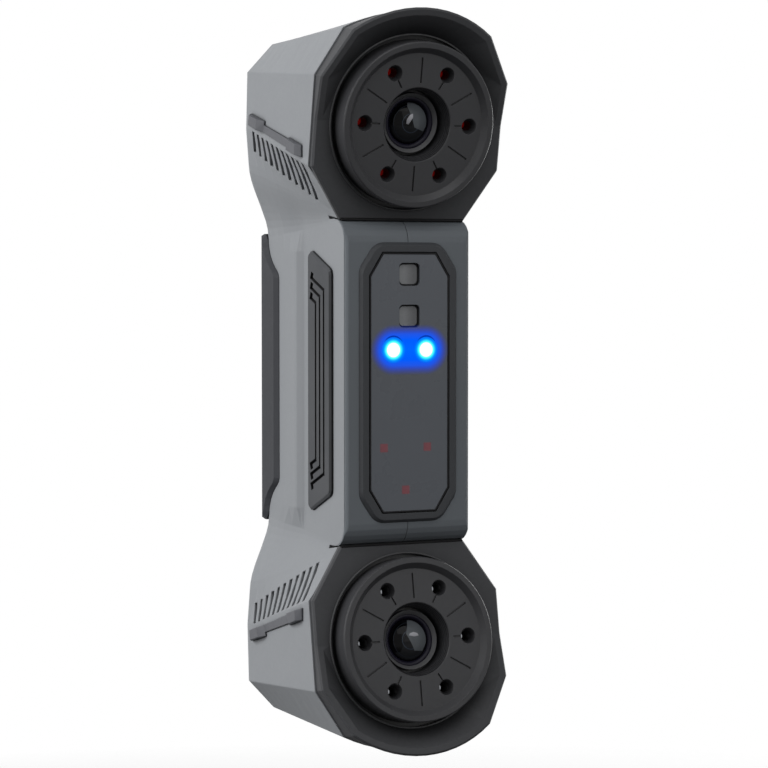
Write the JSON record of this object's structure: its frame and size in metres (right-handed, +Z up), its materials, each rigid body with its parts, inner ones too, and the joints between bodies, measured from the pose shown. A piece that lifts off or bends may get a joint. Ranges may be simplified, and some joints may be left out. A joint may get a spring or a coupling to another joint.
{
  "type": "handheld 3d scanner",
  "caption": "Slim handheld 3D scanner: a ribbed grip with a smoked emitter window joins camera heads that turn in, each with a visor and a ring of lamps round its lens.",
  "frame": {"origin": "middle of the bounding box, which is the middle of the grip", "axes": "the lenses face -Y, +X is the right-hand side seen from the front, +Z runs up the grip to the upper head"},
  "size_m": [0.0582, 0.0642, 0.1928],
  "materials": {
    "light_shell": "satin light grey moulded shell",
    "front_cover": "satin slate grey",
    "bezel": "fine-textured near-black",
    "grip_cover": "satin dark grey",
    "pad": "soft-touch dark grey",
    "trim": "satin charcoal",
    "window_frame": "satin black",
    "window_glass": "smoked",
    "square_lens": "clear",
    "lamp_plate": "matt black anodised look",
    "lamp": "dark red lamp lens",
    "circuit_board": "solder mask green",
    "lens_barrel": "black anodised",
    "lens": "coated",
    "housing": "machined",
    "frame": "cast and machined",
    "laser": "turned module",
    "emitter": "dark red window",
    "button": "soft black",
    "switch": "black",
    "light": "frosted light pipe",
    "socket": "black nickel",
    "contact": "gold plated",
    "screw": "plain"
  },
  "bodies": {
    "scanner": {"left_shell": "light_shell", "right_shell": "light_shell", "front_cover_left": "front_cover", "front_cover_right": "front_cover", "upper_bezel": "bezel", "lower_bezel": "bezel", "back_grip_cover": "grip_cover", "left_grip_pad": "pad", "right_grip_pad": "pad", "left_upper_trim": "trim", "left_lower_trim": "trim", "right_upper_trim": "trim", "right_lower_trim": "trim", "window_frame": "window_frame", "window_glass": "window_glass", "texture_camera_lens": "square_lens", "texture_lamp_lens": "square_lens", "upper_lamp_plate": "lamp_plate", "lower_lamp_plate": "lamp_plate", "upper_lamps": "lamp", "lower_lamps": "lamp", "upper_lamp_board": "circuit_board", "lower_lamp_board": "circuit_board", "upper_lens_barrel": "lens_barrel", "lower_lens_barrel": "lens_barrel", "upper_lens": "lens", "lower_lens": "lens", "upper_camera_housing": "housing", "lower_camera_housing": "housing", "upper_sensor_board": "circuit_board", "lower_sensor_board": "circuit_board", "optical_frame": "frame", "optics_bracket": "housing", "left_laser": "laser", "right_laser": "laser", "texture_camera": "housing", "texture_lamp": "housing", "infrared_board": "circuit_board", "infrared_emitters": "emitter", "main_board": "circuit_board", "heat_sink": "frame", "button_board": "circuit_board", "button_switches": "switch", "status_light": "light", "cable_socket": "socket", "socket_contacts": "contact", "shell_screws": "screw", "frame_screws": "screw"},
    "scan_button": {"scan_button": "button"},
    "up_button": {"up_button": "button"},
    "down_button": {"down_button": "button"}
  },
  "joints": [
    {"name": "scan_button_press", "type": "slide", "parent": "scanner", "child": "scan_button", "axis": [0, -1, 0], "range_m": [0, 0.0007], "stiffness_N_per_m": 900},
    {"name": "up_button_press", "type": "slide", "parent": "scanner", "child": "up_button", "axis": [0, -1, 0], "range_m": [0, 0.0007], "stiffness_N_per_m": 900},
    {"name": "down_button_press", "type": "slide", "parent": "scanner", "child": "down_button", "axis": [0, -1, 0], "range_m": [0, 0.0007], "stiffness_N_per_m": 900}
  ]
}
